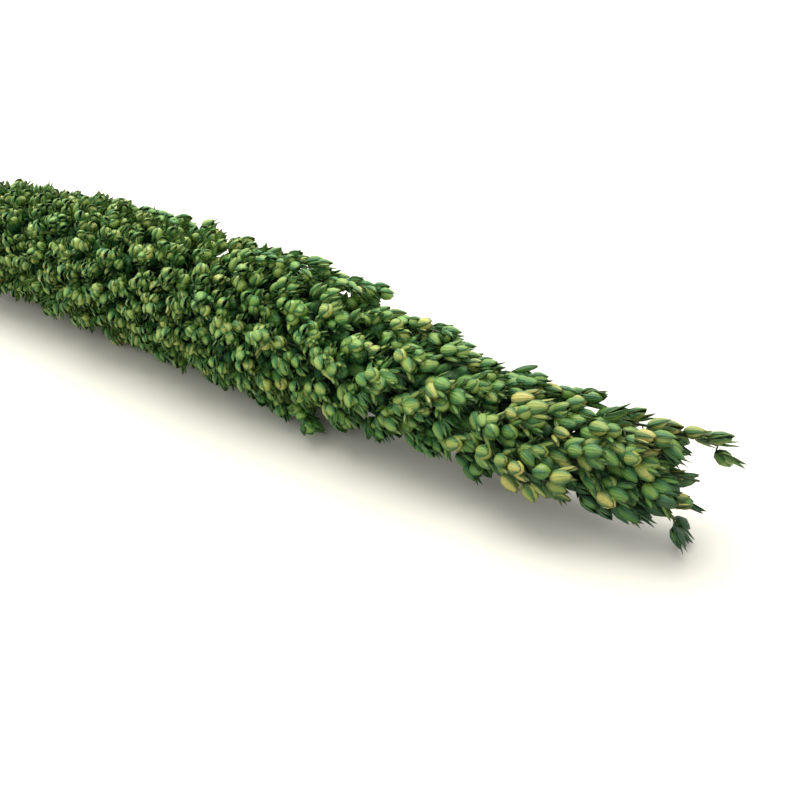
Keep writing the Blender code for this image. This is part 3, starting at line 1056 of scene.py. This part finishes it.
class Spray:
    """All that grows on one primary branch: stems, side stems and spikelets, as one piece."""

    def __init__(self, branch):
        self.branch = branch
        finishes = [husk, grain_skin, sterile_husk, stem_skin]
        self.growth = Growth(branch.name.replace("branch", "spray"), finishes)
        places = np.linspace(branch.root, branch.end, BRANCH_STEPS)
        radii = np.linspace(BRANCH_RADIUS, BRANCH_END_RADIUS, BRANCH_STEPS)
        heel = branch.root - BRANCH_HEEL
        sunk = outward(heel, branch.angle) * (axis_radius(heel) - BRANCH_RADIUS)
        points = [axis_point(heel) + sunk] + [branch.centre(s) for s in places]
        self.growth.add(tube(points, [BRANCH_END_RADIUS, *radii], BRANCH_SIDES), stem_skin)

    def finish(self):
        """Makes the spray's piece, with what would dip into the floor pressed flat on it."""
        points = np.concatenate(self.growth.points)
        self.growth.points = [np.maximum(points, (-1, -1, FLOOR_GAP))]
        obj = self.growth.make()
        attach(obj, "root")
        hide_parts(self.branch.name)


sprays = {branch: Spray(branch) for branch in branches}
for stem in side_stems:
    points = [stem.point(share) for share in SIDE_STEM_POINTS]
    radii = np.linspace(SIDE_STEM_RADIUS, SIDE_STEM_END_RADIUS, len(points))
    sprays[stem.branch].growth.add(tube(points, radii, SIDE_STEM_SIDES), stem_skin)
for s, angle in even_places(SPIKELETS, SPIKELET_SPACING, SPIKELET_JITTER, growth_rng):
    spikelet, stem = surface_spikelet(s, angle, growth_rng)
    if stem.s < stem.branch.end + TAIL_COVER:
        spikelet.grow(sprays[stem.branch].growth)
for count, spacing, jitter, depth, depth_share, size in INNER_LAYERS:
    for s, angle in even_places(count, spacing, jitter, growth_rng):
        inside, stem = surface_spikelet(s, angle, growth_rng)
        sunk = min(depth, reach(s, angle) * depth_share)
        foot = inside.foot - outward(s, angle) * sunk
        turn = inside.turn() * size
        if s < stem.branch.end:
            growth = sprays[stem.branch].growth
            # Painted shade: the inner husks are darker than the outer ones.
            growth.add(inner_shape, husk, inside.tone - INNER_PAINTED_SHADE, turn, foot)
for points, first, count, tone in LOOSE_ENDS:
    loose_end = LooseEnd(points, first, count, tone)
    loose_end.grow(sprays[loose_end.branch].growth, growth_rng)
for spray in sprays.values():
    spray.finish()

# The floor: a plain pale sheet, wide enough to have no edge in any view.
FLOOR_SIZE = 60.0
FLOOR_WHITE = (0.56, 0.545, 0.48)
FLOOR_SHADE = 0.97
FLOOR_MOTTLES = 9

bpy.ops.mesh.primitive_plane_add(size=FLOOR_SIZE)
floor = bpy.context.object
floor.name = "floor"
paper = Finish("floor_paper")
grey = paper.spots(FLOOR_MOTTLES)
paper.colour(paper.blend(grey, FLOOR_WHITE, tuple(FLOOR_SHADE * share for share in FLOOR_WHITE)))
paper.roughness(0.65 + 0.1 * grey)
floor.data.materials.append(paper.material)

# The light: a wide soft window light from above and behind on the left, and an even white room.
WINDOW_SIZE = 1.3
WINDOW_PLACE = (-0.40, 0.34, 1.15)
WINDOW_POWER = 31.0
WINDOW_COLOUR = (1.0, 0.99, 0.97)
ROOM_STRENGTH = 1.36
ROOM_WHITE = (1.0, 1.0, 1.0, 1.0)

window_light = bpy.data.lights.new("window", "AREA")
window_light.size = WINDOW_SIZE
window_light.energy = WINDOW_POWER
window_light.color = WINDOW_COLOUR
window = bpy.data.objects.new("window", window_light)
window.location = WINDOW_PLACE
window.rotation_euler = (-Vector(WINDOW_PLACE)).to_track_quat("-Z", "Y").to_euler()
bpy.context.scene.collection.objects.link(window)
room = bpy.data.worlds.new("room")
room.use_nodes = True
background = room.node_tree.nodes["Background"]
background.inputs["Color"].default_value = ROOM_WHITE
background.inputs["Strength"].default_value = ROOM_STRENGTH
bpy.context.scene.world = room
bpy.context.scene.view_settings.view_transform = "Standard"

# The camera: close to the tip, looking down along the head from the right, as in the photo,
# whose left edge cuts the head. The head's tip falls on one pixel, at one distance.
IMAGE_SIDE = 800
FOCAL_PIXELS = 858
AZIMUTH = math.radians(38.0)
ELEVATION = math.radians(31.0)
ROLL = math.radians(-2.6)
TIP_PIXEL = (702, 503)
TIP_DISTANCE = 0.180
SENSOR_WIDTH = 36.0
NEAREST = 0.01

back = Vector((
    math.sin(AZIMUTH) * math.cos(ELEVATION),
    -math.cos(AZIMUTH) * math.cos(ELEVATION),
    math.sin(ELEVATION),
))
level = Vector((math.cos(AZIMUTH), math.sin(AZIMUTH), 0))
above = back.cross(level)
right = level * math.cos(ROLL) + above * math.sin(ROLL)
up = back.cross(right)
camera_data = bpy.data.cameras.new("camera")
camera_data.sensor_width = SENSOR_WIDTH
camera_data.lens = SENSOR_WIDTH * FOCAL_PIXELS / IMAGE_SIDE
camera_data.clip_start = NEAREST
camera = bpy.data.objects.new("camera", camera_data)
bpy.context.scene.collection.objects.link(camera)
aside = (TIP_PIXEL[0] - IMAGE_SIDE / 2) / FOCAL_PIXELS * TIP_DISTANCE
under = (TIP_PIXEL[1] - IMAGE_SIDE / 2) / FOCAL_PIXELS * TIP_DISTANCE
camera.location = axis_point(HEAD_LENGTH) + back * TIP_DISTANCE - right * aside + up * under
camera.rotation_mode = "QUATERNION"
camera.rotation_quaternion = Matrix((right, up, back)).transposed().to_quaternion()
bpy.context.scene.camera = camera
